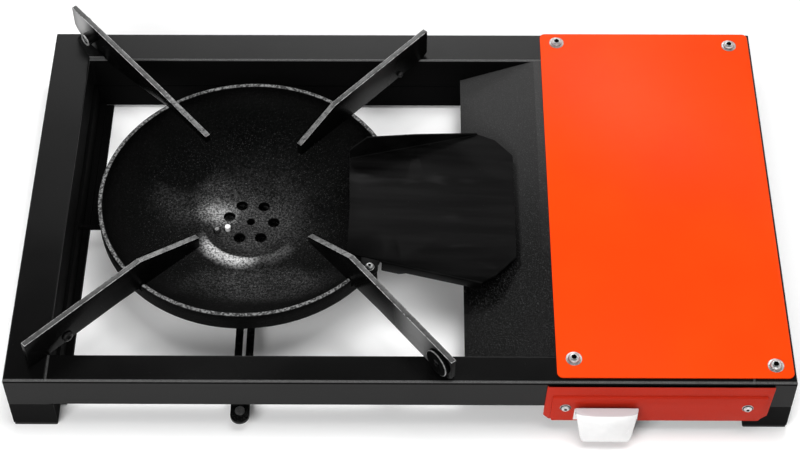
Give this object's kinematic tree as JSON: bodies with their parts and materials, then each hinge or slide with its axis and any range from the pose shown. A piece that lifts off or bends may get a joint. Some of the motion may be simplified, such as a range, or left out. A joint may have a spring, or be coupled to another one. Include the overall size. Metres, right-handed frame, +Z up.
{
  "type": "propane burner stand",
  "caption": "Low tube-frame propane burner stand with a cast burner bowl, folding pan-support arms, a flame guard, an orange-red side cover and a white control lever.",
  "frame": {"origin": "on the floor under the middle of the overall box", "axes": "+X to the right along the length, +Y to the rear, +Z up"},
  "size_m": [0.65, 0.4294, 0.097],
  "materials": {
    "frame_black": "satin black paint",
    "runner_black": "satin black paint",
    "cast_black": "rough black casting, rubbed lighter on the rim",
    "blade_black": "gloss black with worn edges",
    "guard_dark": "dark brushed sheet",
    "sheet_black": "satin black sheet",
    "cover_orange": "smooth orange-red paint",
    "panel_red": "smooth red paint",
    "lever_white": "glossy white",
    "screw_steel": "bright zinc",
    "plain_steel": "plain steel",
    "brass": "plain brass",
    "copper": "plain copper tube",
    "rubber": "matt black rubber",
    "ceramic": "white ceramic",
    "box_black": "matt black"
  },
  "bodies": {
    "frame": {"rail_left": "frame_black", "rail_right": "frame_black", "rail_front": "frame_black", "rail_rear": "frame_black", "runner_left": "runner_black", "runner_right": "runner_black", "rail_rear_lower": "runner_black", "end_caps": "frame_black", "foot_pads": "rubber", "weld_beads": "frame_black", "cross_bar": "runner_black", "bowl": "cast_black", "burner_chamber": "cast_black", "venturi_tube": "plain_steel", "jet": "brass", "gas_pipe": "copper", "valve_body": "brass", "valve_bracket": "plain_steel", "supply_pipe": "copper", "inlet_nipple": "brass", "lever_hanger": "runner_black", "igniter_electrode": "ceramic", "thermocouple": "plain_steel", "igniter_box": "box_black", "deck_plate": "sheet_black", "heat_guard": "guard_dark", "guard_lug": "cast_black", "guard_bolts": "screw_steel", "guard_spacers": "plain_steel", "cover": "cover_orange", "cover_screws": "screw_steel", "control_panel": "panel_red", "panel_screws": "screw_steel", "lever_mount": "lever_white", "lug_front_left": "frame_black", "lug_rear_right": "frame_black", "lug_front_right": "frame_black", "lug_rear_left": "frame_black", "pivot_screws": "screw_steel", "boss_front_right": "blade_black", "foot_plate": "frame_black", "runner_lip": "runner_black", "floor_strip": "runner_black"},
    "gas_valve_rod": {"valve_rod": "plain_steel"},
    "air_control": {"air_lever": "sheet_black", "air_lever_rivet": "screw_steel"},
    "gas_lever": {"control_lever": "lever_white", "lever_pin": "plain_steel"},
    "fl_arm": {"arm_front_left": "blade_black", "stop_screw_front_left": "screw_steel"},
    "rr_arm": {"arm_rear_right": "blade_black", "stop_screw_rear_right": "screw_steel"},
    "fr_arm": {"arm_front_right": "blade_black"},
    "rl_arm": {"arm_rear_left": "blade_black", "boss_rear_left": "blade_black", "stop_screw_rear_left": "screw_steel"}
  },
  "joints": [
    {"name": "arm_front_left_fold", "type": "hinge", "parent": "frame", "child": "fl_arm", "pos_m": [-0.29792, -0.17233, 0.0834], "axis": [0.7065, -0.7077, 0], "range_deg": [0, 90]},
    {"name": "arm_rear_right_fold", "type": "hinge", "parent": "frame", "child": "rr_arm", "pos_m": [0.01492, 0.16646, 0.0834], "axis": [-0.7443, 0.6678, 0], "range_deg": [0, 90]},
    {"name": "arm_front_right_fold", "type": "hinge", "parent": "frame", "child": "fr_arm", "pos_m": [0.03464, -0.18298, 0.0834], "axis": [0.7815, 0.6239, 0], "range_deg": [0, 90]},
    {"name": "arm_rear_left_fold", "type": "hinge", "parent": "frame", "child": "rl_arm", "pos_m": [-0.29509, 0.19155, 0.0845], "axis": [-0.7593, -0.6508, 0], "range_deg": [0, 90]},
    {"name": "gas_lever_tilt", "type": "hinge", "parent": "frame", "child": "gas_lever", "pos_m": [0.1712, -0.2003, 0.0305], "axis": [-1, 0, 0], "range_deg": [0, 20]},
    {"name": "valve_rod_slide", "type": "slide", "parent": "frame", "child": "gas_valve_rod", "axis": [0, -1, 0], "range_m": [0, 0.00263]},
    {"name": "air_lever_slide", "type": "slide", "parent": "frame", "child": "air_control", "axis": [0, -1, 0], "range_m": [0, 0.02]}
  ],
  "couplings": [
    {"joint": "gas_lever_tilt", "follows": "valve_rod_slide", "rad_per_m": 132.71}
  ]
}
